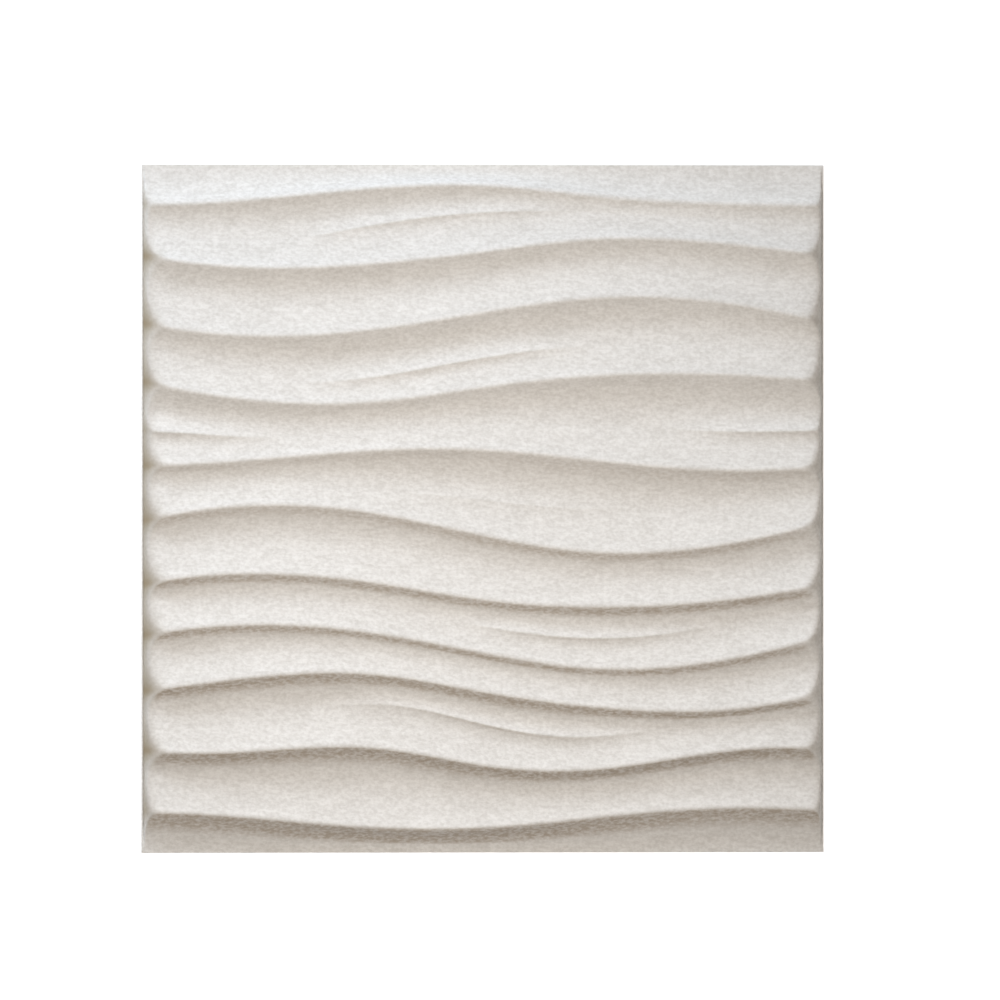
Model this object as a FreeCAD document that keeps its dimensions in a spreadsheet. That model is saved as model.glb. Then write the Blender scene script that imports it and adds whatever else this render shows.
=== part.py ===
# Wave-relief wall panel tile, moulded in one piece as a thin shell of plant-fibre pulp.
#
# The panel lies face up: X runs along the waves, Y points to its top edge, Z out of its face.
# The origin is the middle of the back plane, on which the flat rim rests.
# Lengths are in millimetres. "Down" is the distance from the top edge towards -Y.
#
# The face is a row of scallops. Neighbouring scallops meet in a crest, and each crest sways
# across the panel. Short branch ridges rise inside the wider scallops and die out again.
# At the left and right edges the waves roll over into a steep side wall, and at the top and
# bottom edges the outer scallops run out flat into the rim.

import FreeCAD
import Part
import math
import os

# Driving sizes: alias, value, meaning
SIZES = (
    ("panel_width", 500.0, "left edge to right edge"),
    ("panel_length", 500.0, "top edge to bottom edge"),
    ("crest_height", 20.0, "back plane to the main crests"),
    ("first_crest_height", 14.0, "back plane to the crest beside the top edge"),
    ("last_crest_height", 16.0, "back plane to the crest beside the bottom edge"),
    ("wall_thickness", 2.5, "thickness of the moulded shell and of its rim"),
    ("rim_width", 1.5, "flat land round the waves"),
    ("scallop_ratio", 0.18, "depth of a scallop over its width"),
    ("valley_place", 0.38, "share of a scallop's width from its upper crest to its valley"),
    ("back_slope_power", 1.6, "power by which a scallop climbs from its valley to its lower crest"),
    ("crest_shoulder", 3.8, "half the width over which a crest is rounded"),
    ("branch_shoulder", 1.8, "half the width over which a branch ridge is rounded"),
    ("wall_run", 10.5, "width in plan of a side wall that is as high as a main crest"),
    ("wall_roll", 3.0, "power of its height by which a side wall leans in"),
    ("wall_shoulder", 9.0, "width over which a wave rolls over into the side wall"),
    ("branch_back", 15.0, "width of a branch ridge's gentle upper face"),
    ("branch_slip", 9.0, "width of a branch ridge's steep lower face"),
)

# Widths of the scallops, from the top edge down, at six even stations from the left edge.
# The right edge repeats the left one, so that the waves run on into the next tile.
STRIPS = (
    (29.0, 25.0, 17.0, 14.5, 22.5, 27.5),
    (37.5, 50.5, 55.5, 49.0, 31.5, 29.0),
    (49.0, 49.5, 48.0, 44.0, 43.0, 43.0),
    (42.5, 47.0, 52.5, 54.5, 56.5, 53.0),
    (61.0, 42.5, 35.0, 45.5, 62.0, 69.5),
    (40.5, 33.0, 45.0, 62.5, 66.5, 55.5),
    (45.5, 49.5, 50.5, 46.5, 39.5, 40.0),
    (37.5, 37.0, 36.5, 38.5, 45.0, 44.0),
    (40.5, 38.0, 30.0, 28.5, 28.0, 35.5),
    (43.0, 54.0, 53.5, 53.5, 45.0, 30.5),
    (44.5, 49.0, 58.5, 45.5, 35.0, 40.5),
    (29.5, 25.0, 18.0, 17.5, 25.5, 32.0),
)

# Branch ridges, keyed by the strip they rise in, counted from 0 at the top edge: their two ends
# as shares of the panel's width, where their crest lies in the strip at four even steps, as
# shares of its width, and how far they rise. A ridge that ends past 1 runs over the seam.
BRANCH_COLUMNS = ("start", "end", "place_a", "place_b", "place_c", "place_d", "rise")
BRANCHES = {
    1: (0.24, 0.61, 0.590, 0.469, 0.414, 0.390, 4.0),
    3: (0.25, 0.64, 0.686, 0.630, 0.595, 0.608, 3.8),
    4: (0.78, 1.17, 0.585, 0.583, 0.567, 0.626, 5.2),
    5: (0.38, 0.72, 0.620, 0.585, 0.554, 0.487, 1.8),
    7: (0.47, 0.83, 0.495, 0.513, 0.494, 0.405, 4.2),
    9: (0.29, 0.73, 0.450, 0.400, 0.487, 0.390, 5.0),
}

# How finely the control nets follow the waves
NET_STATIONS = 21
PLAIN_STEPS = 3
BRANCH_STEPS = 2
DEGREE = 3
WALL_STEPS = (0.0, 0.4, 0.75, 1.0)
# The wall's control columns stay this far apart where the face runs out at rim level
FOOT_GAP = 0.6
# Half the step over which the face's slope is measured
SLOPE_STEP = 0.5


def add_sheet(doc, name, rows):
    """Add a sheet with one named cell for each (alias, value, meaning)."""
    sheet = doc.addObject("Spreadsheet::Sheet", name)
    for row, (alias, value, meaning) in enumerate(rows, start=1):
        sheet.set(f"A{row}", meaning)
        sheet.set(f"B{row}", str(value))
        sheet.setAlias(f"B{row}", alias)
    return sheet


def strip_rows():
    """Sheet rows for the widths of the scallops."""
    return [
        (f"strip_{strip}_station_{station}", width, "scallop's width at a station")
        for strip, widths in enumerate(STRIPS)
        for station, width in enumerate(widths)
    ]


def branch_rows():
    """Sheet rows for the branch ridges."""
    return [
        (f"branch_{strip}_{column}", value, f"{column} of the ridge in strip {strip}")
        for strip, values in BRANCHES.items()
        for column, value in zip(BRANCH_COLUMNS, values)
    ]


def smooth_line(values):
    """A spline through values at the parameters 0, 1, 2 and so on; its Y is the value."""
    points = [FreeCAD.Vector(step, value, 0.0) for step, value in enumerate(values)]
    curve = Part.BSplineCurve()
    curve.interpolate(Points=points, Parameters=[float(step) for step in range(len(values))])
    return curve


class Branch:
    """A short ridge that rises inside one strip."""

    def __init__(self, sheet, strip):
        named = {column: sheet.get(f"branch_{strip}_{column}") for column in BRANCH_COLUMNS}
        self.start = named["start"]
        self.end = named["end"]
        self.rise = named["rise"]
        self.places = [named[column] for column in BRANCH_COLUMNS if column.startswith("place")]
        self.line = smooth_line(self.places)

    def at(self, share):
        """Its place in the strip and its rise at a share of the panel's width."""
        middle = (self.start + self.end) / 2
        unrolled = share + round(middle - share)
        travel = min(max((unrolled - self.start) / (self.end - self.start), 0.0), 1.0)
        place = self.line.value(travel * (len(self.places) - 1)).y
        return place, self.rise * math.sqrt(max(math.sin(math.pi * travel), 0.0))


class WaveFace:
    """Height of the panel's face over its plan."""

    def __init__(self, sizes, strips, branches):
        self.sizes = sizes
        self.rim = sizes.rim_width
        self.last = len(STRIPS) - 1
        self.branches = {strip: Branch(branches, strip) for strip in BRANCHES}
        widths = [
            [strips.get(f"strip_{strip}_station_{station}") for station in range(len(row))]
            for strip, row in enumerate(STRIPS)
        ]
        columns = [list(column) for column in zip(*widths)]
        columns.append(columns[0])
        self.stations = len(columns)
        self.crests = [
            smooth_line([sizes.panel_length * sum(c[: k + 1]) / sum(c) for c in columns])
            for k in range(self.last)
        ]
        main = [sizes.crest_height] * (self.last - 2)
        ends = (sizes.first_crest_height, sizes.last_crest_height)
        self.heights = [sizes.wall_thickness, ends[0], *main, ends[1], sizes.wall_thickness]

    def lines(self, x):
        """How far down the top rim's foot, each crest and the bottom rim's foot lie at x."""
        station = (x / self.sizes.panel_width + 0.5) * (self.stations - 1)
        crests = [curve.value(station).y for curve in self.crests]
        return [self.rim, *crests, self.sizes.panel_length - self.rim]

    def branch(self, strip, x):
        """Place in the strip and rise of its branch ridge at x."""
        return self.branches[strip].at(x / self.sizes.panel_width + 0.5)

    def height(self, x, down, lines):
        """Height of the face above the back plane."""
        sizes = self.sizes
        strip = max(k for k in range(len(STRIPS)) if k == 0 or lines[k] <= down)
        width = lines[strip + 1] - lines[strip]
        share = min(max((down - lines[strip]) / width, 0.0), 1.0)
        upper = self.heights[strip]
        lower = self.heights[strip + 1]
        floor = (upper + lower) / 2 - sizes.scallop_ratio * width
        valley = sizes.valley_place
        power = sizes.back_slope_power
        if strip == 0:
            floor = upper
            valley = 0.0
            power = 2.0
        if strip == self.last:
            floor = lower
            valley = 1.0
        if share < valley:
            level = floor + (upper - floor) * (1.0 - share / valley) ** 2
        elif share > valley:
            climbed = (share - valley) / (1.0 - valley)
            level = floor + (lower - floor) * climbed**power
        else:
            level = floor
        if strip in self.branches:
            place, rise = self.branch(strip, x)
            past = down - lines[strip] - place * width
            reach = sizes.branch_slip if past > 0.0 else sizes.branch_back
            level += rise * max(1.0 - abs(past) / reach, 0.0) ** 2
        return level

    def rails(self, x, lines):
        """How far down each control row lies at x, and whether it is a crest or a rim's foot."""
        crest = self.sizes.crest_shoulder
        rails = []
        for strip in range(len(STRIPS)):
            marks = [(lines[strip], crest), (lines[strip + 1], crest)]
            steps = PLAIN_STEPS
            if strip in self.branches:
                place, _ = self.branch(strip, x)
                ridge = lines[strip] + place * (lines[strip + 1] - lines[strip])
                marks.insert(1, (ridge, self.sizes.branch_shoulder))
                steps = BRANCH_STEPS
            for (upper, shoulder), (lower, next_shoulder) in zip(marks, marks[1:]):
                rails.append((upper, True))
                start = upper + shoulder
                stretch = (lower - next_shoulder - start) / (steps + 1)
                rails += [(start + stretch * k, False) for k in range(steps + 2)]
        rails.append((lines[-1], True))
        return rails


class Skin:
    """One side of the shell as a control net: the face itself, or its back."""

    def __init__(self, face, is_back):
        sizes = face.sizes
        self.face = face
        self.is_back = is_back
        self.thickness = sizes.wall_thickness
        self.half_length = sizes.panel_length / 2
        self.full_climb = sizes.crest_height - sizes.wall_thickness
        self.foot = sizes.panel_width / 2 - sizes.rim_width
        self.base = sizes.wall_thickness
        if is_back:
            # The back of a side wall stands a wall's thickness in from its front
            self.foot -= sizes.wall_thickness
            self.base = 0.0

    def column(self, x):
        """Distance down and height of each control row at x."""
        face = self.face
        lines = face.lines(x)
        rails = face.rails(x, lines)
        downs = [down for down, _ in rails]
        levels = [face.height(x, down, lines) for down in downs]
        if self.is_back:
            for row, down in enumerate(downs):
                ahead = face.height(x, down + SLOPE_STEP, lines)
                behind = face.height(x, down - SLOPE_STEP, lines)
                slope = (ahead - behind) / (2 * SLOPE_STEP)
                levels[row] = max(levels[row] - self.thickness * math.hypot(1.0, slope), 0.0)
        else:
            # A smooth surface passes below its control rows, so a crest's own row is raised
            for row in range(1, len(rails) - 1):
                if rails[row][1]:
                    levels[row] = (6 * levels[row] - levels[row - 1] - levels[row + 1]) / 4
        levels[0] = self.base
        levels[-1] = self.base
        return list(zip(downs, levels))

    def lean(self, step, climb):
        """How far a side wall has come in from its foot at a share of its climb."""
        sizes = self.face.sizes
        part = max(step * climb / self.full_climb, 0.0)
        return step * FOOT_GAP + sizes.wall_run * part**sizes.wall_roll

    def wall(self, side):
        """Control columns from the foot of a side wall up to where the waves roll over."""
        steps = [(step, self.foot) for step in WALL_STEPS]
        steps.append((WALL_STEPS[-1], self.foot - self.face.sizes.wall_shoulder))
        columns = []
        for step, start in steps:
            rows = self.column(side * (start - self.lean(step, self.full_climb)))
            columns.append(
                [
                    FreeCAD.Vector(
                        side * (start - self.lean(step, z - self.base)),
                        self.half_length - down,
                        self.base + step * (z - self.base),
                    )
                    for down, z in rows
                ]
            )
        return columns

    def net(self):
        """All control columns, from the left foot to the right one."""
        sizes = self.face.sizes
        reach = self.foot - FOOT_GAP - sizes.wall_run - 2 * sizes.wall_shoulder
        middle = []
        for station in range(NET_STATIONS):
            x = reach * (2 * station / (NET_STATIONS - 1) - 1)
            middle.append(
                [FreeCAD.Vector(x, self.half_length - down, z) for down, z in self.column(x)]
            )
        return self.wall(-1) + middle + self.wall(1)[::-1]

    def shape(self):
        """The smooth surface over the net, as a face."""
        poles = self.net()
        knots = []
        multiplicities = []
        for count in (len(poles), len(poles[0])):
            spans = count - DEGREE
            knots.append([float(knot) for knot in range(spans + 1)])
            multiplicities.append([DEGREE + 1] + [1] * (spans - 1) + [DEGREE + 1])
        surface = Part.BSplineSurface()
        surface.buildFromPolesMultsKnots(
            poles, *multiplicities, *knots, False, False, DEGREE, DEGREE
        )
        return surface.toShape()


def framed(plate_face, skin):
    """A flat face of the rim plate, open where a skin takes over."""
    opening = Part.Wire(Part.__sortEdges__(skin.Edges))
    return Part.makeFace([plate_face.OuterWire, opening], "Part::FaceMakerBullseye")


def close_shell(plate, front, back):
    """One solid of the rim plate's edges, its two framed faces and the two skins."""
    flat = sorted(plate.Faces, key=lambda plate_face: plate_face.CenterOfMass.z)
    bottom, *edges, top = flat
    faces = [framed(bottom, back), *edges, framed(top, front), front, back]
    solid = Part.Solid(Part.Shell(faces))
    if solid.Volume < 0.0:
        solid.reverse()
    return solid


def main():
    """Build the panel, check it and write its STEP file."""
    doc = FreeCAD.newDocument("wave_panel_tile")
    sizes = add_sheet(doc, "sizes", SIZES)
    strips = add_sheet(doc, "strips", strip_rows())
    branches = add_sheet(doc, "branches", branch_rows())
    doc.recompute()

    plate = doc.addObject("Part::Box", "rim_plate")
    plate.Label = "rim_plate"
    plate.setExpression("Length", "sizes.panel_width")
    plate.setExpression("Width", "sizes.panel_length")
    plate.setExpression("Height", "sizes.wall_thickness")
    plate.setExpression(".Placement.Base.x", "-sizes.panel_width / 2")
    plate.setExpression(".Placement.Base.y", "-sizes.panel_length / 2")
    doc.recompute()

    # The waves are free-form, so their two skins are surfaces made over control nets
    face = WaveFace(sizes, strips, branches)
    front = doc.addObject("Part::Feature", "front_skin")
    front.Label = "front_skin"
    front.Shape = Skin(face, is_back=False).shape()
    back = doc.addObject("Part::Feature", "back_skin")
    back.Label = "back_skin"
    back.Shape = Skin(face, is_back=True).shape()

    panel = doc.addObject("Part::Feature", "wave_panel")
    panel.Label = "wave_panel"
    panel.Shape = close_shell(plate.Shape, front.Shape, back.Shape)
    panel.Placement = FreeCAD.Placement()
    doc.recompute()

    for item in doc.Objects:
        if "Invalid" in item.State or "Error" in item.State:
            raise RuntimeError(f"{item.Label} did not compute")
    for item in (plate, front, back, panel):
        if item.Shape.isNull() or not item.Shape.isValid():
            raise RuntimeError(f"{item.Label} has no valid shape")

    os.makedirs("parts", exist_ok=True)
    panel.Shape.exportStep("parts/wave_panel.step")


main()
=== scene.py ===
"""Dress the wave-relief wall panel tile and set it up for its portrait.

The tile is one thin shell of moulded plant fibre. Its two skins are smooth surfaces over control
nets whose rows follow the crests, as in the CAD model, and a rim joins them. Everything is in
metres in the CAD frame: X along the waves, Y to the tile's top edge, Z out of its face.
"""

from __future__ import annotations

import logging
import math
from dataclasses import dataclass, field
from enum import Enum
from typing import Any, Mapping, Sequence, Union

import bpy
import numpy as np
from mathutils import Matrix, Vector


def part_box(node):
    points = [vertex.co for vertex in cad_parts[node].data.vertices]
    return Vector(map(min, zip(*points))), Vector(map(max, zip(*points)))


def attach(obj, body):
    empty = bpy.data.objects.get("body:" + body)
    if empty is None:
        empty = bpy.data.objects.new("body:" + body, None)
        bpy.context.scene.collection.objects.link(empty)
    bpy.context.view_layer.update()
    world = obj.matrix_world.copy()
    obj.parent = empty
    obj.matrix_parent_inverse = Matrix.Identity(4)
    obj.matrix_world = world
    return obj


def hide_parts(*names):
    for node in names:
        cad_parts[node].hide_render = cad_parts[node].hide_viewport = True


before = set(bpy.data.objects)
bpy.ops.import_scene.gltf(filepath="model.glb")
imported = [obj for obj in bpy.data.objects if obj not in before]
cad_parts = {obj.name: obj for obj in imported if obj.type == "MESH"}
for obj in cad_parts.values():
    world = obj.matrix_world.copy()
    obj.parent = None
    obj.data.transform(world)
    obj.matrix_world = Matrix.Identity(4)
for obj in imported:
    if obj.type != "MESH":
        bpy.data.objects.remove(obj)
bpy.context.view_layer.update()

MM = 0.001

# Degree of the skins' splines, and the least length that they divide by
DEGREE = 3
TINY = 1e-12

# Material slots of the shell
FACE_SLOT = 0
BACK_SLOT = 1

log = logging.getLogger("wave_panel")


class Side(Enum):
    """Which skin of the shell is meant."""

    FRONT = "front"
    BACK = "back"


class Value:
    """A shader socket that takes part in Python arithmetic."""

    def __init__(self, graph: Graph, socket: bpy.types.NodeSocket) -> None:
        """Keep the socket and the graph that new Math nodes go into."""
        self.graph = graph
        self.socket = socket

    def _math(self, operation: str, first: Number, second: Number) -> Value:
        """Add one Math node.

        Args:
            operation: Blender's name of the operation.
            first: The first operand.
            second: The second operand.

        Returns:
            The node's result.
        """
        settings = {"operation": operation}
        return self.graph.node("ShaderNodeMath", settings, {0: first, 1: second}, "Value")

    def __add__(self, other: Number) -> Value:
        """Sum."""
        return self._math("ADD", self, other)

    def __radd__(self, other: Number) -> Value:
        """Sum with a number first."""
        return self._math("ADD", other, self)

    def __sub__(self, other: Number) -> Value:
        """Difference."""
        return self._math("SUBTRACT", self, other)

    def __rsub__(self, other: Number) -> Value:
        """Difference with a number first."""
        return self._math("SUBTRACT", other, self)

    def __mul__(self, other: Number) -> Value:
        """Product."""
        return self._math("MULTIPLY", self, other)

    def __rmul__(self, other: Number) -> Value:
        """Product with a number first."""
        return self._math("MULTIPLY", other, self)

    def __pow__(self, other: Number) -> Value:
        """Power."""
        return self._math("POWER", self, other)

    def __abs__(self) -> Value:
        """Size without sign."""
        return self._math("ABSOLUTE", self, 0.0)

    def step(self, low: float, high: float) -> Value:
        """Smooth step.

        Args:
            low: Value at which the result leaves 0.
            high: Value at which the result reaches 1.

        Returns:
            0 below low, 1 above high and a smooth curve between.
        """
        settings = {"interpolation_type": "SMOOTHSTEP"}
        sockets = {"Value": self, "From Min": low, "From Max": high}
        return self.graph.node("ShaderNodeMapRange", settings, sockets, "Result")


Number = Union[Value, float]
Colour = tuple[float, float, float, float]


class Graph:
    """The node tree of one material."""

    def __init__(self, material: bpy.types.Material) -> None:
        """Empty the material's tree."""
        material.use_nodes = True
        self.tree = material.node_tree
        self.tree.nodes.clear()

    def node(
        self,
        kind: str,
        settings: Mapping[str, Any],
        sockets: Mapping[Union[str, int], Any],
        result: Union[str, int],
    ) -> Value:
        """Add a node of any kind.

        Args:
            kind: Blender's node type.
            settings: The node's own properties, set first.
            sockets: Its inputs by name or number, each a link or a plain value.
            result: The output that is wanted, by name or number.

        Returns:
            That output.
        """
        node = self.tree.nodes.new(kind)
        for name, setting in settings.items():
            setattr(node, name, setting)
        for name, given in sockets.items():
            if isinstance(given, Value):
                self.tree.links.new(given.socket, node.inputs[name])
            else:
                node.inputs[name].default_value = given
        return Value(self, node.outputs[result])

    def mix(self, factor: Number, first: Any, second: Any) -> Value:
        """Mix two colours.

        Args:
            factor: Share of the second colour.
            first: A colour or a link to one.
            second: A colour or a link to one.

        Returns:
            The mixed colour.
        """
        settings = {"data_type": "RGBA", "clamp_factor": True}
        return self.node("ShaderNodeMix", settings, {0: factor, 6: first, 7: second}, 2)

    def attribute(self, name: str) -> Value:
        """Read a number that the mesh keeps for each of its points."""
        return self.node("ShaderNodeAttribute", {"attribute_name": name}, {}, "Fac")

    def finish(self, shader: Value) -> None:
        """Send a shader to the material's output."""
        output = self.tree.nodes.new("ShaderNodeOutputMaterial")
        self.tree.links.new(shader.socket, output.inputs["Surface"])


@dataclass(frozen=True)
class Layer:
    """A layer of drawn-out noise: a feature's length and width, and its angle from X in degrees."""

    length: float
    width: float
    turn: float


@dataclass(frozen=True)
class FibreFinish:
    """Matte off-white pulp: pressed plant fibres, mostly lying along the waves."""

    name: str
    light: Colour = (0.79, 0.782, 0.765, 1.0)
    shade: Colour = (0.61, 0.595, 0.57, 1.0)
    fleck: Colour = (0.36, 0.29, 0.21, 1.0)
    # Painted shade: a dark brown laid on the side walls, which lie in shade
    wall: Colour = (0.31, 0.25, 0.165, 1.0)
    # Painted shade: a dark brown laid on the steep faces below the crests
    slip: Colour = (0.42, 0.36, 0.295, 1.0)
    wall_shade_attribute: str = "side_wall_shade"
    slip_shade_attribute: str = "slip_face_shade"

    # Layers of noise, and the detail within each of them
    clouds: Layer = Layer(22.0 * MM, 9.0 * MM, 3.0)
    streaks: Layer = Layer(9.0 * MM, 2.6 * MM, -5.0)
    grain: Layer = Layer(3.2 * MM, 2.4 * MM, 0.0)
    specks: Layer = Layer(1.1 * MM, 0.8 * MM, 50.0)
    # Noise that breaks up the painted shade on the slip faces
    slip_shade_noise: Layer = Layer(3.8 * MM, 1.9 * MM, 2.0)
    threads_along: Layer = Layer(7.0 * MM, 0.8 * MM, 4.0)
    threads_rising: Layer = Layer(5.0 * MM, 0.9 * MM, 33.0)
    threads_falling: Layer = Layer(5.5 * MM, 0.9 * MM, -27.0)
    detail: float = 2.0
    detail_strength: float = 0.55

    # Where a layer's value steps from 0 to 1
    soft_range: tuple[float, float] = (0.32, 0.68)
    grain_range: tuple[float, float] = (0.3, 0.7)
    speck_range: tuple[float, float] = (0.80, 0.86)

    # Shares of the layers in the colour
    cloud_tone: float = 0.2
    streak_tone: float = 0.25
    grain_tone: float = 0.55
    speck_tone: float = 0.5
    # Painted shade on the slip faces: its least share, and the share that follows its noise
    slip_shade_base: float = 0.3
    slip_shade_noise_tone: float = 0.65

    # Threads: how thin they are, and the weight of those that cross the waves
    thread_power: float = 9.0
    crossing_weight: float = 0.6

    # Gloss and relief
    roughness: float = 0.92
    thread_gloss: float = 0.06
    specular: float = 0.25
    streak_height: float = 0.4
    grain_height: float = 0.45
    thread_height: float = 0.15
    bump_depth: float = 0.4 * MM
    bump_strength: float = 0.6

    def noise(self, graph: Graph, place: Value, layer: Layer) -> Value:
        """Noise drawn out along a direction in the tile's plane.

        The coordinates are turned to the layer's angle and divided by its length and width.

        Args:
            graph: The material's nodes.
            place: Object coordinates.
            layer: Size and angle of the features.

        Returns:
            Values about 0.5, from 0 to 1.
        """
        rotation = (0.0, 0.0, math.radians(layer.turn))
        turned = graph.node(
            "ShaderNodeMapping",
            {"vector_type": "TEXTURE"},
            {"Vector": place, "Rotation": rotation, "Scale": (1.0, 1.0, 1.0)},
            "Vector",
        )
        scale = (1.0 / layer.length, 1.0 / layer.width, 1.0 / layer.width)
        stretched = graph.node(
            "ShaderNodeVectorMath", {"operation": "MULTIPLY"}, {0: turned, 1: scale}, "Vector"
        )
        sockets = {
            "Vector": stretched,
            "Scale": 1.0,
            "Detail": self.detail,
            "Roughness": self.detail_strength,
        }
        return graph.node("ShaderNodeTexNoise", {}, sockets, "Fac")

    def fibres(self, graph: Graph, place: Value) -> Value:
        """Thin threads where drawn-out noise crosses its middle value, in three directions.

        A thread is a power of 1 - |2n - 1|, where n is the noise.

        Args:
            graph: The material's nodes.
            place: Object coordinates.

        Returns:
            About 1 on a thread and 0 between threads.
        """
        along, rising, falling = (
            (1.0 - abs(2.0 * self.noise(graph, place, layer) - 1.0)) ** self.thread_power
            for layer in (self.threads_along, self.threads_rising, self.threads_falling)
        )
        return along + self.crossing_weight * rising + self.crossing_weight * falling

    def colour(self, graph: Graph, place: Value, streaks: Value, grain: Value) -> Value:
        """Colour of the pulp: mottled and flecked, with painted shade on the slip faces and the
        side walls.

        Args:
            graph: The material's nodes.
            place: Object coordinates.
            streaks: Noise of the streaks.
            grain: Noise of the grain.

        Returns:
            The colour.
        """
        clouds = self.noise(graph, place, self.clouds).step(*self.soft_range)
        specks = self.noise(graph, place, self.specks).step(*self.speck_range)
        slip_shade_noise = self.noise(graph, place, self.slip_shade_noise).step(*self.soft_range)
        streaky = streaks.step(*self.grain_range)
        grainy = grain.step(*self.grain_range)
        tone = self.cloud_tone * clouds + self.streak_tone * streaky + self.grain_tone * grainy
        pulp = graph.mix(tone, self.shade, self.light)
        flecked = graph.mix(self.speck_tone * specks, pulp, self.fleck)
        # Painted shade on the steep faces below the crests, darker towards the bottom, broken up by
        # noise
        slip_shade_amount = graph.attribute(self.slip_shade_attribute) * (self.slip_shade_base + self.slip_shade_noise_tone * slip_shade_noise)
        slip_shaded = graph.mix(slip_shade_amount, flecked, self.slip)
        # Painted shade on the side walls
        return graph.mix(graph.attribute(self.wall_shade_attribute), slip_shaded, self.wall)

    def material(self) -> bpy.types.Material:
        """Make the material.

        Returns:
            The material, with colour, roughness and relief worked out from Object coordinates. The
            mesh's own attributes lay painted shade on the side walls and on the slip faces.
        """
        material = bpy.data.materials.new(self.name)
        graph = Graph(material)
        place = graph.node("ShaderNodeTexCoord", {}, {}, "Object")
        streaks = self.noise(graph, place, self.streaks)
        grain = self.noise(graph, place, self.grain)
        threads = self.fibres(graph, place)
        height = self.streak_height * streaks + self.grain_height * grain
        bump = {
            "Height": height + self.thread_height * threads,
            "Strength": self.bump_strength,
            "Distance": self.bump_depth,
        }
        sockets = {
            "Base Color": self.colour(graph, place, streaks, grain),
            "Roughness": self.roughness - self.thread_gloss * threads,
            "Specular IOR Level": self.specular,
            "Normal": graph.node("ShaderNodeBump", {}, bump, "Normal"),
        }
        graph.finish(graph.node("ShaderNodeBsdfPrincipled", {}, sockets, "BSDF"))
        return material


@dataclass(frozen=True)
class FloorFinish:
    """A plain pale studio floor that glows a little, so that it stays white round the tile."""

    name: str = "studio_floor"
    colour: Colour = (0.93, 0.93, 0.93, 1.0)
    roughness: float = 0.9
    glow_colour: Colour = (1.0, 1.0, 1.0, 1.0)
    glow: float = 0.6

    def material(self) -> bpy.types.Material:
        """Make the material."""
        material = bpy.data.materials.new(self.name)
        graph = Graph(material)
        sockets = {
            "Base Color": self.colour,
            "Roughness": self.roughness,
            "Emission Color": self.glow_colour,
            "Emission Strength": self.glow,
        }
        graph.finish(graph.node("ShaderNodeBsdfPrincipled", {}, sockets, "BSDF"))
        return material


def smooth_line(values: np.ndarray, at: np.ndarray) -> np.ndarray:
    """Cubic spline through values at 0, 1, 2 and so on.

    Each piece is the cubic that has the two end values and the two end slopes. Inner slopes make
    the second derivative continuous, and the end slopes are those of the cubic through the four
    nearest values.

    Args:
        values: The values that the line passes through.
        at: Where it is wanted.

    Returns:
        The line's values there.
    """
    count = len(values)
    system = 4.0 * np.eye(count) + np.eye(count, k=1) + np.eye(count, k=-1)
    system[0] = np.eye(count)[0]
    system[-1] = np.eye(count)[-1]
    slopes = np.zeros(count)
    slopes[1:-1] = 3.0 * (values[2:] - values[:-2])
    lagrange = np.array([-11.0, 18.0, -9.0, 2.0]) / 6.0
    slopes[0] = lagrange @ values[:4]
    slopes[-1] = -lagrange @ values[::-1][:4]
    slopes = np.linalg.solve(system, slopes)
    piece = np.clip(np.floor(at).astype(int), 0, count - 2)
    t = at - piece
    start, end = values[piece], values[piece + 1]
    leave, arrive = slopes[piece], slopes[piece + 1]
    rise = end - start
    square = 3.0 * rise - 2.0 * leave - arrive
    cube = leave + arrive - 2.0 * rise
    return start + t * (leave + t * (square + t * cube))


def smooth_step(values: np.ndarray, low: float, high: float) -> np.ndarray:
    """Smooth step: 3t^2 - 2t^3, where t goes from 0 at low to 1 at high.

    Args:
        values: The values to step.
        low: Value at which the result leaves 0.
        high: Value at which the result reaches 1.

    Returns:
        Values from 0 to 1.
    """
    t = np.clip((values - low) / (high - low), 0.0, 1.0)
    return t**2 * (3.0 - 2.0 * t)


def spline_basis(count: int, samples: int) -> np.ndarray:
    """Weights of a clamped uniform cubic B-spline.

    The weights of degree d are blends of two neighbouring weights of degree d - 1, each in
    proportion to the distance from its own knots.

    Args:
        count: Number of control points.
        samples: Number of even steps of the parameter.

    Returns:
        One row per sample and one column per control point.
    """
    spans = count - DEGREE
    inner = np.arange(spans + 1.0)
    knots = np.concatenate([np.full(DEGREE, inner[0]), inner, np.full(DEGREE, inner[-1])])
    at = np.linspace(0.0, spans, samples)
    span = np.clip(np.floor(at).astype(int), 0, spans - 1) + DEGREE
    weights = (np.arange(len(knots) - 1)[None, :] == span[:, None]).astype(float)
    for order in range(1, DEGREE + 1):
        low, high = knots[: -order - 1], knots[order + 1 :]
        width_up = np.maximum(knots[order:-1] - low, TINY)
        width_down = np.maximum(high - knots[1:-order], TINY)
        up = (at[:, None] - low) / width_up * (knots[order:-1] > low)
        down = (high - at[:, None]) / width_down * (high > knots[1:-order])
        weights = up * weights[:, :-1] + down * weights[:, 1:]
    return weights


@dataclass(frozen=True)
class Branch:
    """A short ridge that rises inside one strip and dies out at both ends."""

    strip: int
    start: float
    end: float
    places: tuple[float, float, float, float]
    rise: float

    def at(self, share: np.ndarray) -> tuple[np.ndarray, np.ndarray]:
        """Where the ridge lies.

        Args:
            share: Shares of the tile's width. A ridge that ends past 1 runs over the seam.

        Returns:
            Its place as a share of the strip's width, and its rise, the root of half a sine wave.
        """
        unrolled = share + np.round((self.start + self.end) / 2.0 - share)
        travel = np.clip((unrolled - self.start) / (self.end - self.start), 0.0, 1.0)
        place = smooth_line(np.array(self.places), travel * (len(self.places) - 1))
        return place, self.rise * np.sqrt(np.sin(np.pi * travel))


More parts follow.
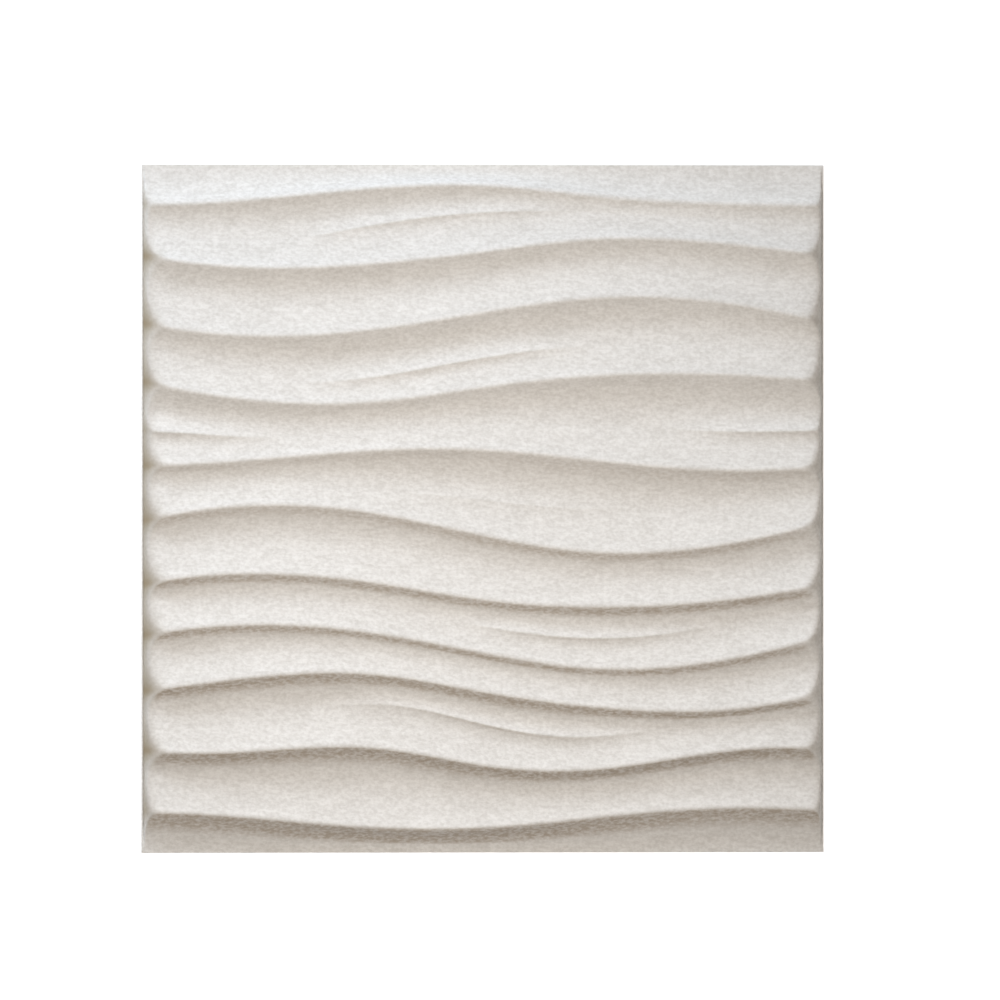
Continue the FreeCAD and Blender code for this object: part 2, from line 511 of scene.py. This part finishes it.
@dataclass
class WavePanel:
    """The moulded tile: a row of scallops that meet in swaying crests, on a thin flat rim."""

    low: Vector
    high: Vector
    width: float = field(init=False)
    length: float = field(init=False)

    # Heights of the crests above the back plane: most of them, and those beside the end edges
    crest: float = 20.0 * MM
    first_crest: float = 14.0 * MM
    last_crest: float = 16.0 * MM

    # Wall of the shell, flat land of the rim, rounding of its outer edge and points in the rounding
    thickness: float = 2.5 * MM
    rim: float = 1.5 * MM
    rim_round: float = 0.5 * MM
    rim_steps: int = 5

    # Scallops: depth over width, place of the valley, power of the climb, shoulder of a crest
    scallop_ratio: float = 0.18
    valley: float = 0.38
    back_slope: float = 1.6
    crest_shoulder: float = 3.8 * MM

    # Branch ridges: rounding of the top, and reach of the gentle and the steep face
    branch_shoulder: float = 1.8 * MM
    branch_back: float = 15.0 * MM
    branch_slip: float = 9.0 * MM

    # Side walls: width in plan, power by which they lean in, width of the shoulder and least width
    wall_run: float = 10.5 * MM
    wall_roll: float = 3.0
    wall_shoulder: float = 9.0 * MM
    foot_gap: float = 0.6 * MM

    # Control nets, and columns and rows of the finished mesh
    stations: int = 21
    plain_steps: int = 3
    branch_steps: int = 2
    wall_steps: tuple[float, ...] = (0.0, 0.4, 0.75, 1.0, 1.0)
    samples: tuple[int, int] = (157, 283)
    crease_angle: float = 50.0

    # Painted shade: its reach and strength on the side walls, left and right, and the slopes and
    # stretch of the tile where the slip faces take it
    wall_shade_spans: float = 3.0
    wall_shade_tints: tuple[float, float] = (1.0, 0.35)
    slip_shade_slopes: tuple[float, float] = (0.36, 0.62)
    slip_shade_reach: tuple[float, float] = (0.28, 0.72)

    # Widths of the scallops from the top edge down, at six even stations from the left edge
    strips: np.ndarray = field(
        default_factory=lambda: np.array(
            [
                (29.0, 25.0, 17.0, 14.5, 22.5, 27.5),
                (37.5, 50.5, 55.5, 49.0, 31.5, 29.0),
                (49.0, 49.5, 48.0, 44.0, 43.0, 43.0),
                (42.5, 47.0, 52.5, 54.5, 56.5, 53.0),
                (61.0, 42.5, 35.0, 45.5, 62.0, 69.5),
                (40.5, 33.0, 45.0, 62.5, 66.5, 55.5),
                (45.5, 49.5, 50.5, 46.5, 39.5, 40.0),
                (37.5, 37.0, 36.5, 38.5, 45.0, 44.0),
                (40.5, 38.0, 30.0, 28.5, 28.0, 35.5),
                (43.0, 54.0, 53.5, 53.5, 45.0, 30.5),
                (44.5, 49.0, 58.5, 45.5, 35.0, 40.5),
                (29.5, 25.0, 18.0, 17.5, 25.5, 32.0),
            ]
        )
    )
    branches: tuple[Branch, ...] = (
        Branch(1, 0.24, 0.61, (0.590, 0.469, 0.414, 0.390), 4.0 * MM),
        Branch(3, 0.25, 0.64, (0.686, 0.630, 0.595, 0.608), 3.8 * MM),
        Branch(4, 0.78, 1.17, (0.585, 0.583, 0.567, 0.626), 5.2 * MM),
        Branch(5, 0.38, 0.72, (0.620, 0.585, 0.554, 0.487), 1.8 * MM),
        Branch(7, 0.47, 0.83, (0.495, 0.513, 0.494, 0.405), 4.2 * MM),
        Branch(9, 0.29, 0.73, (0.450, 0.400, 0.487, 0.390), 5.0 * MM),
    )

    def __post_init__(self) -> None:
        """Take the outline from the CAD node's box."""
        self.width = self.high.x - self.low.x
        self.length = self.high.y - self.low.y

    def lines(self, x: np.ndarray) -> np.ndarray:
        """Distance of the rim's feet and the crests from the top edge.

        The strips share out the tile's length in proportion to their widths, and each crest is a
        spline through the seven stations, the last of which repeats the first.

        Args:
            x: Places along the waves.

        Returns:
            One row per line, from the top foot to the bottom one.
        """
        widths = np.concatenate([self.strips, self.strips[:, :1]], axis=1)
        downs = self.length * np.cumsum(widths, axis=0) / widths.sum(axis=0)
        at = (x / self.width + 0.5) * (widths.shape[1] - 1)
        crests = [smooth_line(down, at) for down in downs[:-1]]
        foot = np.full_like(x, self.rim)
        return np.array([foot, *crests, self.length - foot])

    def scallop(self, strip: int, share: np.ndarray, width: np.ndarray) -> np.ndarray:
        """Height of a strip without its branch ridge.

        A scallop falls as a parabola to a level valley and climbs from it as a lower power. The
        first and last strips have only the parabola that runs out into the rim.

        Args:
            strip: The strip's number from the top.
            share: How far down the strip, from 0 to 1.
            width: The strip's width.

        Returns:
            Heights above the back plane.
        """
        last = len(self.strips) - 1
        levels = [self.thickness, self.first_crest]
        levels += [self.crest] * (last - 2) + [self.last_crest, self.thickness]
        upper, lower = levels[strip], levels[strip + 1]
        if strip == 0:
            return upper + (lower - upper) * share**2
        if strip == last:
            return lower + (upper - lower) * (1.0 - share) ** 2
        floor = (upper + lower) / 2.0 - self.scallop_ratio * width
        falling = floor + (upper - floor) * (1.0 - share / self.valley) ** 2
        climbed = np.clip((share - self.valley) / (1.0 - self.valley), 0.0, 1.0)
        rising = floor + (lower - floor) * climbed**self.back_slope
        return np.where(share < self.valley, falling, rising)

    def rows(self, x: np.ndarray, side: Side) -> tuple[np.ndarray, np.ndarray]:
        """Control rows of a skin at given places along the waves.

        Rows lie on each crest, a shoulder to both sides of it and at even steps between. A branch
        ridge adds the square of a tent to its strip. The front's crest rows are raised so that
        the smooth surface reaches the crest, and the back lies a wall's thickness below the
        front, measured across the slope.

        Args:
            x: Places along the waves.
            side: Which skin.

        Returns:
            Distances from the top edge and heights, one row per control row.
        """
        lines = self.lines(x)
        ridges = {branch.strip: branch for branch in self.branches}
        downs: list[np.ndarray] = []
        levels: list[np.ndarray] = []
        peaks: list[int] = []
        for strip in range(len(self.strips)):
            top, width = lines[strip], lines[strip + 1] - lines[strip]
            marks, steps = [top, lines[strip + 1]], self.plain_steps
            shoulders = [self.crest_shoulder, self.crest_shoulder]
            ridge = ridges.get(strip)
            if ridge:
                place, rise = ridge.at(x / self.width + 0.5)
                marks.insert(1, top + place * width)
                shoulders.insert(1, self.branch_shoulder)
                steps = self.branch_steps
            for k in range(len(marks) - 1):
                first, last = marks[k] + shoulders[k], marks[k + 1] - shoulders[k + 1]
                peaks.append(len(downs))
                inner = np.linspace(first, last, steps + 2)
                for down in (marks[k], *inner):
                    level = self.scallop(strip, (down - top) / width, width)
                    if ridge:
                        past = down - marks[1]
                        reach = np.where(past > 0.0, self.branch_slip, self.branch_back)
                        level = level + rise * np.clip(1.0 - abs(past) / reach, 0.0, 1.0) ** 2
                    downs.append(down)
                    levels.append(level)
        downs.append(lines[-1])
        levels.append(np.full_like(x, self.thickness))
        down, level = np.array(downs), np.array(levels)
        if side is Side.BACK:
            slope = np.zeros_like(level)
            slope[1:-1] = (level[2:] - level[:-2]) / (down[2:] - down[:-2])
            level = np.maximum(level - self.thickness * np.hypot(1.0, slope), 0.0)
        else:
            peak = np.array(peaks[1:])
            level[peak] = (6.0 * level[peak] - level[peak - 1] - level[peak + 1]) / 4.0
        level[[0, -1]] = 0.0 if side is Side.BACK else self.thickness
        return down, level

    def net(self, side: Side) -> np.ndarray:
        """Control net of a skin.

        At each side edge five columns make the wall: its foot, two steps up it, its top corner and
        a shoulder. The wall leans inwards, so a higher row has its corner further in.

        Args:
            side: Which skin.

        Returns:
            Points by column, row and axis, from the left foot to the right one.
        """
        foot, base = self.width / 2.0 - self.rim, self.thickness
        if side is Side.BACK:
            foot, base = foot - self.thickness, 0.0
        share = np.array(self.wall_steps)
        inset = np.zeros_like(share)
        inset[-1] = self.wall_shoulder
        wall = foot - share * self.foot_gap - share**self.wall_roll * self.wall_run - inset
        reach = wall[-1] - self.wall_shoulder
        x = np.concatenate([-wall, np.linspace(-reach, reach, self.stations), wall[::-1]])
        down, level = self.rows(x, side)
        plan = np.broadcast_to(x, level.shape).copy()
        count = len(share)
        for columns, sign in ((np.arange(count), -1.0), (-1 - np.arange(count), 1.0)):
            climb = share * (level[:, columns] - base)
            run = self.wall_run * (climb / (self.crest - self.thickness)) ** self.wall_roll
            plan[:, columns] = sign * (foot - share * self.foot_gap - run - inset)
            level[:, columns] = base + climb
        return np.stack([plan, self.length / 2.0 - down, level], axis=-1).transpose(1, 0, 2)

    def skin(self, side: Side) -> np.ndarray:
        """Smooth surface over a skin's net: the net weighted by the B-spline in both directions.

        Args:
            side: Which skin.

        Returns:
            Points by column, row and axis.
        """
        net = self.net(side)
        along = spline_basis(net.shape[0], self.samples[0])
        across = spline_basis(net.shape[1], self.samples[1])
        return np.einsum("ia,abk,jb->ijk", along, net, across)

    def rim_loops(self, front: np.ndarray, back: np.ndarray) -> np.ndarray:
        """Loops round the rim, from the front skin's edge over the outer edge to the back's.

        The profile runs out over the land, rounds the edge, goes down it and comes in again. It
        is carried round the two edge loops, which are stretched out to the tile's outline.

        Args:
            front: Edge loop of the front skin.
            back: Edge loop of the back skin.

        Returns:
            Points by loop, place and axis.
        """
        half = np.array([self.width / 2.0, self.length / 2.0])
        outline = front[:, :2] / np.abs(front[:, :2]).max(axis=0) * half
        r = self.rim_round
        quarter = np.linspace(0.0, math.pi / 2.0, self.rim_steps)
        inset = np.concatenate([r - r * np.sin(quarter), r - r * np.cos(quarter)])
        height = np.concatenate([self.thickness - r + r * np.cos(quarter), r - r * np.sin(quarter)])
        plan = outline[None] * (1.0 - inset[:, None, None] / half)
        level = np.broadcast_to(height[:, None, None], (*plan.shape[:2], 1))
        edge = np.concatenate([plan, level], axis=-1)
        return np.concatenate([front[None], edge, back[None]])

    def wall_shade_share(self, front: np.ndarray) -> np.ndarray:
        """How much painted shade each point of the front skin takes near the side walls.

        The share steps down from a wall's own strength at its foot to 0 where the waves have rolled
        over, measured in spans of the skin. It grows with the height of the wave there, so the ends
        of the crests are the darkest. The left wall takes the darker painted shade.

        Args:
            front: Points of the front skin by column, row and axis.

        Returns:
            One value per column and row.
        """
        spans = self.stations + 2 * len(self.wall_steps) - DEGREE
        place = np.linspace(0.0, spans, self.samples[0])
        inner = np.searchsorted(place, self.wall_shade_spans)
        height = (front[..., 2] - self.thickness) / (self.crest - self.thickness)
        share = np.zeros(self.samples)
        pasts, waves = (place, spans - place), (height[inner], height[-1 - inner])
        # Painted shade, strongest at a wall's foot and at the ends of the crests
        for tint, past, wave in zip(self.wall_shade_tints, pasts, waves):
            near = smooth_step(self.wall_shade_spans - past, 0.0, self.wall_shade_spans)
            share += tint * np.outer(near, np.clip(wave, 0.0, 1.0))
        return share

    def slip_shade_share(self, front: np.ndarray) -> np.ndarray:
        """How much painted shade each point of the front skin takes on the slip faces.

        The share steps up with the part of the normal along -Y, which is largest on the steep face
        below a crest, turned away from the key light, and grows from the tile's top edge to its
        bottom edge. The normal is the cross product of the steps along and across the waves, turned
        to point out of the face.

        Args:
            front: Points of the front skin by column, row and axis.

        Returns:
            One value per column and row, from 0 to 1.
        """
        normal = np.cross(np.gradient(front, axis=1), np.gradient(front, axis=0))
        steepness = -normal[..., 1] / np.linalg.norm(normal, axis=-1)
        down = 0.5 - front[..., 1] / self.length
        # Painted shade on faces turned away from the key light, growing towards the bottom edge
        return smooth_step(steepness, *self.slip_shade_slopes) * smooth_step(down, *self.slip_shade_reach)

    def border(self) -> np.ndarray:
        """Numbers of the points along a skin's edge, once round."""
        columns, rows = self.samples
        number = np.arange(columns * rows).reshape(columns, rows)
        edges = [number[:-1, -1], number[-1, :0:-1], number[:0:-1, 0], number[0, :-1]]
        return np.concatenate(edges)

    def faces(self, loops: int) -> list[np.ndarray]:
        """Quads of the front skin, the back skin and the rim, all facing outwards.

        Points are numbered through the front skin, the back skin and the loops between them. A
        quad joins four neighbours on a skin's grid, or two neighbours on each of two loops.

        Args:
            loops: Number of loops between the two skins.

        Returns:
            Point numbers of the quads, for each of the three.
        """
        columns, rows = self.samples
        size = columns * rows
        number = np.arange(size).reshape(columns, rows)
        corners = [number[:-1, 1:], number[:-1, :-1], number[1:, :-1], number[1:, 1:]]
        skin = np.stack(corners, axis=-1)
        border = self.border()
        between = 2 * size + np.arange(loops * len(border)).reshape(loops, len(border))
        chain = np.concatenate([border[None], between, border[None] + size])
        ahead = np.roll(chain, -1, axis=1)
        rim = np.stack([chain[:-1], ahead[:-1], ahead[1:], chain[1:]], axis=-1)
        return [skin.reshape(-1, 4), skin[..., ::-1].reshape(-1, 4) + size, rim.reshape(-1, 4)]

    def build(self) -> bpy.types.Object:
        """Build the closed shell as one mesh object.

        Returns:
            The object, with the front and the rim in the face's slot and the back in its own.
        """
        front, back = self.skin(Side.FRONT), self.skin(Side.BACK)
        border = self.border()
        edges = [skin.reshape(-1, 3)[border] for skin in (front, back)]
        loops = self.rim_loops(*edges)[1:-1]
        points = np.concatenate([grid.reshape(-1, 3) for grid in (front, back, loops)])
        groups = self.faces(len(loops))
        faces = np.concatenate(groups).astype(np.int32)
        counts = [len(group) for group in groups]
        slots = np.repeat([FACE_SLOT, BACK_SLOT, FACE_SLOT], counts).astype(np.int32)

        mesh = bpy.data.meshes.new("wave_panel_shell")
        mesh.vertices.add(len(points))
        mesh.vertices.foreach_set("co", points.ravel())
        mesh.loops.add(faces.size)
        mesh.loops.foreach_set("vertex_index", faces.ravel())
        mesh.polygons.add(len(faces))
        mesh.polygons.foreach_set("loop_start", np.arange(0, faces.size, 4, dtype=np.int32))
        mesh.polygons.foreach_set("material_index", slots)
        # Shares of painted shade on the side walls and on the slip faces
        shares = {
            FibreFinish.wall_shade_attribute: self.wall_shade_share(front),
            FibreFinish.slip_shade_attribute: self.slip_shade_share(front),
        }
        for name, share in shares.items():
            values = np.pad(share.ravel(), (0, len(points) - share.size))
            mesh.attributes.new(name, "FLOAT", "POINT").data.foreach_set("value", values)
        mesh.update(calc_edges=True)
        mesh.validate()
        mesh.shade_smooth()
        mesh.set_sharp_from_angle(angle=math.radians(self.crease_angle))
        panel = bpy.data.objects.new("wave_panel_shell", mesh)
        bpy.context.scene.collection.objects.link(panel)
        return panel

    def dress(self, panel: bpy.types.Object) -> None:
        """Give the shell its finishes and tie it to the CAD node.

        Args:
            panel: The shell's object.
        """
        face = FibreFinish("moulded_fibre_face")
        back = FibreFinish("moulded_fibre_back", bump_strength=0.9, bump_depth=0.5 * MM)
        for finish in (face, back):
            panel.data.materials.append(finish.material())
        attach(panel, "root")
        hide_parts("wave_panel")


@dataclass(frozen=True)
class Softbox:
    """A rectangular studio light."""

    name: str
    place: tuple[float, float, float]
    aim: tuple[float, float, float]
    size: tuple[float, float]
    power: float
    colour: tuple[float, float, float]

    def build(self) -> bpy.types.Object:
        """Make the light and turn it to its aim."""
        lamp = bpy.data.lights.new(self.name, "AREA")
        lamp.shape = "RECTANGLE"
        lamp.size, lamp.size_y = self.size
        lamp.energy = self.power
        lamp.color = self.colour
        box = bpy.data.objects.new(self.name, lamp)
        box.location = self.place
        beam = Vector(self.aim) - Vector(self.place)
        box.rotation_euler = beam.to_track_quat("-Z", "Y").to_euler()
        box.visible_camera = False
        bpy.context.scene.collection.objects.link(box)
        return box


@dataclass(frozen=True)
class Studio:
    """Floor, light and camera for the portrait: a view down on the tile, a little from the left."""

    camera_distance: float = 25.0
    camera_turn: float = 7.5
    frame_width: float = 0.7272
    frame_centre: tuple[float, float] = (0.0128, 0.0062)
    sensor: float = 36.0
    floor_size: float = 16.0
    ambient: Colour = (1.0, 0.9, 0.78, 1.0)
    ambient_strength: float = 0.07
    lights: tuple[Softbox, ...] = (
        Softbox(
            name="key_light",
            place=(-1.04, 1.55, 0.68),
            aim=(0.0, 0.0, 0.0),
            size=(1.0, 0.7),
            power=30.1,
            colour=(0.80, 0.89, 1.0),
        ),
        Softbox(
            name="high_light",
            place=(-0.05, -0.04, 0.96),
            aim=(-0.05, -0.04, 0.0),
            size=(0.6, 0.6),
            power=8.0,
            colour=(1.0, 0.93, 0.86),
        ),
    )

    def floor(self, level: float) -> bpy.types.Object:
        """Lay the floor under the tile.

        Args:
            level: Height of the floor.

        Returns:
            The floor.
        """
        half = self.floor_size / 2.0
        plan = ((-half, -half), (half, -half), (half, half), (-half, half))
        corners = [(x, y, level) for x, y in plan]
        mesh = bpy.data.meshes.new("studio_floor")
        mesh.from_pydata(corners, [], [(0, 1, 2, 3)])
        mesh.materials.append(FloorFinish().material())
        floor = bpy.data.objects.new("studio_floor", mesh)
        bpy.context.scene.collection.objects.link(floor)
        return floor

    def camera(self) -> bpy.types.Object:
        """Hang the camera far above the tile, with the tile's top edge up."""
        turn = math.radians(self.camera_turn)
        away = Vector((-math.sin(turn), 0.0, math.cos(turn))) * self.camera_distance
        lens = bpy.data.cameras.new("portrait_camera")
        lens.sensor_width = self.sensor
        lens.lens = self.sensor * self.camera_distance / self.frame_width
        camera = bpy.data.objects.new("portrait_camera", lens)
        camera.location = Vector((*self.frame_centre, 0.0)) + away
        camera.rotation_euler = (0.0, -turn, 0.0)
        bpy.context.scene.collection.objects.link(camera)
        bpy.context.scene.camera = camera
        return camera

    def surroundings(self) -> bpy.types.World:
        """Light the scene evenly from all round, with a warm tint that shows in the shade."""
        world = bpy.data.worlds.new("studio")
        world.use_nodes = True
        background = world.node_tree.nodes["Background"]
        background.inputs["Color"].default_value = self.ambient
        background.inputs["Strength"].default_value = self.ambient_strength
        bpy.context.scene.world = world
        return world

    def build(self, level: float) -> Sequence[bpy.types.ID]:
        """Set the whole studio up.

        Args:
            level: Height of the floor.

        Returns:
            What was made.
        """
        bpy.context.scene.view_settings.view_transform = "Standard"
        lights = [box.build() for box in self.lights]
        return [self.floor(level), self.camera(), self.surroundings(), *lights]


def main() -> None:
    """Build the tile and the studio, and report each piece."""
    logging.basicConfig(level=logging.INFO, format="%(name)s: %(message)s")
    low, high = (Vector(corner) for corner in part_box("wave_panel"))
    panel = WavePanel(low, high)
    shell = panel.build()
    panel.dress(shell)
    log.info("%s: %d faces", shell.name, len(shell.data.polygons))
    for made in Studio().build(low.z):
        log.info("studio: %s", made.name)


if __name__ == "__main__":
    main()
